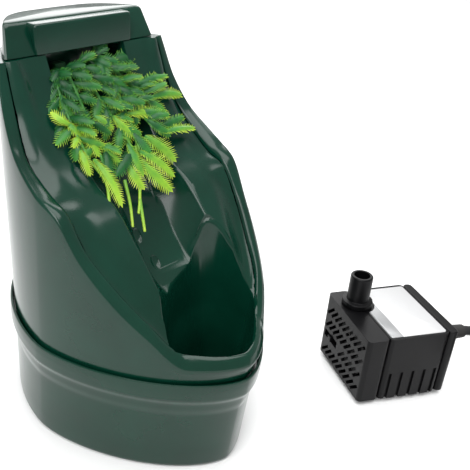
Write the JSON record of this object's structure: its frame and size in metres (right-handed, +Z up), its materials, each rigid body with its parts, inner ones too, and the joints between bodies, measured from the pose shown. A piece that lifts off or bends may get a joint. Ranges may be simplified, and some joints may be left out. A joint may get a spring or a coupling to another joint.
{
  "type": "drinking fountain",
  "caption": "Small terrarium waterfall drinking fountain: oval tub, tower with a water channel and well, lift-off cover, hanging plant, and a submersible pump with its cord standing beside it.",
  "frame": {"origin": "on the plane the fountain stands on, at the middle of the tub's width, under the tub's underside; the tub's flat underside passes through it", "axes": "+Z up, -Y towards the low front lip of the drinking well, +X to the right as seen from the front"},
  "size_m": [0.2949, 0.3416, 0.206],
  "materials": {
    "green_shell": "semi-gloss moulded polypropylene, dark green",
    "pump_black": "satin black moulding",
    "rubber_black": "black rubber",
    "leaf": "soft moulded leaves, dark green turning yellow-green at the tips",
    "hose": "flexible grey hose",
    "steel": "bright steel",
    "magnet": "plastic-bonded ferrite",
    "impeller_white": "white moulding",
    "iron": "laminated iron",
    "copper": "enamelled copper winding",
    "label": "blank silver foil label"
  },
  "bodies": {
    "base": {"base_tub": "green_shell"},
    "tower": {"tower_shell": "green_shell", "riser_hose": "hose", "spout_elbow": "green_shell", "hose_clip_1": "green_shell", "hose_clip_2": "green_shell"},
    "cover": {"top_cover": "green_shell"},
    "plant": {"plant_peg": "leaf", "plant_spray_left": "leaf", "plant_spray_middle": "leaf", "plant_spray_right": "leaf"},
    "pump": {"pump_housing": "pump_black", "rear_cap": "pump_black", "chamber_cover": "pump_black", "seal_ring": "rubber_black", "rotor_shaft": "steel", "bush_front": "rubber_black", "bush_rear": "rubber_black", "stator_core": "iron", "stator_winding": "copper", "label_plate": "label", "suction_foot_1": "rubber_black", "suction_foot_2": "rubber_black", "suction_foot_3": "rubber_black", "suction_foot_4": "rubber_black", "cord_gland": "rubber_black", "power_cord": "pump_black", "cord_coil": "pump_black", "cord_tie": "rubber_black", "plug_body": "pump_black", "plug_pin_1": "steel", "plug_pin_2": "steel"},
    "intake": {"intake_cover": "pump_black"},
    "regulator": {"flow_regulator": "pump_black"},
    "nozzle": {"outlet_nozzle": "pump_black"},
    "rotor": {"impeller": "impeller_white", "rotor_magnet": "magnet"}
  },
  "joints": [
    {"name": "tower_lift", "type": "slide", "parent": "base", "child": "tower", "axis": [0, 0, 1], "range_m": [0, 0.2]},
    {"name": "cover_lift", "type": "slide", "parent": "tower", "child": "cover", "axis": [0, 0, 1], "range_m": [0, 0.06]},
    {"name": "plant_pull", "type": "slide", "parent": "tower", "child": "plant", "axis": [0, -1, 0], "range_m": [0, 0.08]},
    {"name": "pump_lift", "type": "slide", "parent": "base", "child": "pump", "axis": [0, 0, 1], "range_m": [0, 0.1]},
    {"name": "intake_pull", "type": "slide", "parent": "pump", "child": "intake", "axis": [-0.8829, 0.4695, 0], "range_m": [0, 0.03]},
    {"name": "regulator_slide", "type": "slide", "parent": "intake", "child": "regulator", "axis": [-0.4695, -0.8829, 0], "range_m": [-0.0035, 0.0035]},
    {"name": "nozzle_pull", "type": "slide", "parent": "pump", "child": "nozzle", "axis": [0, 0, 1], "range_m": [0, 0.03]},
    {"name": "rotor_spin", "type": "hinge", "parent": "pump", "child": "rotor", "pos_m": [0.1215, -0.0875, 0.023], "axis": [0.8829, -0.4695, 0], "continuous": true}
  ]
}
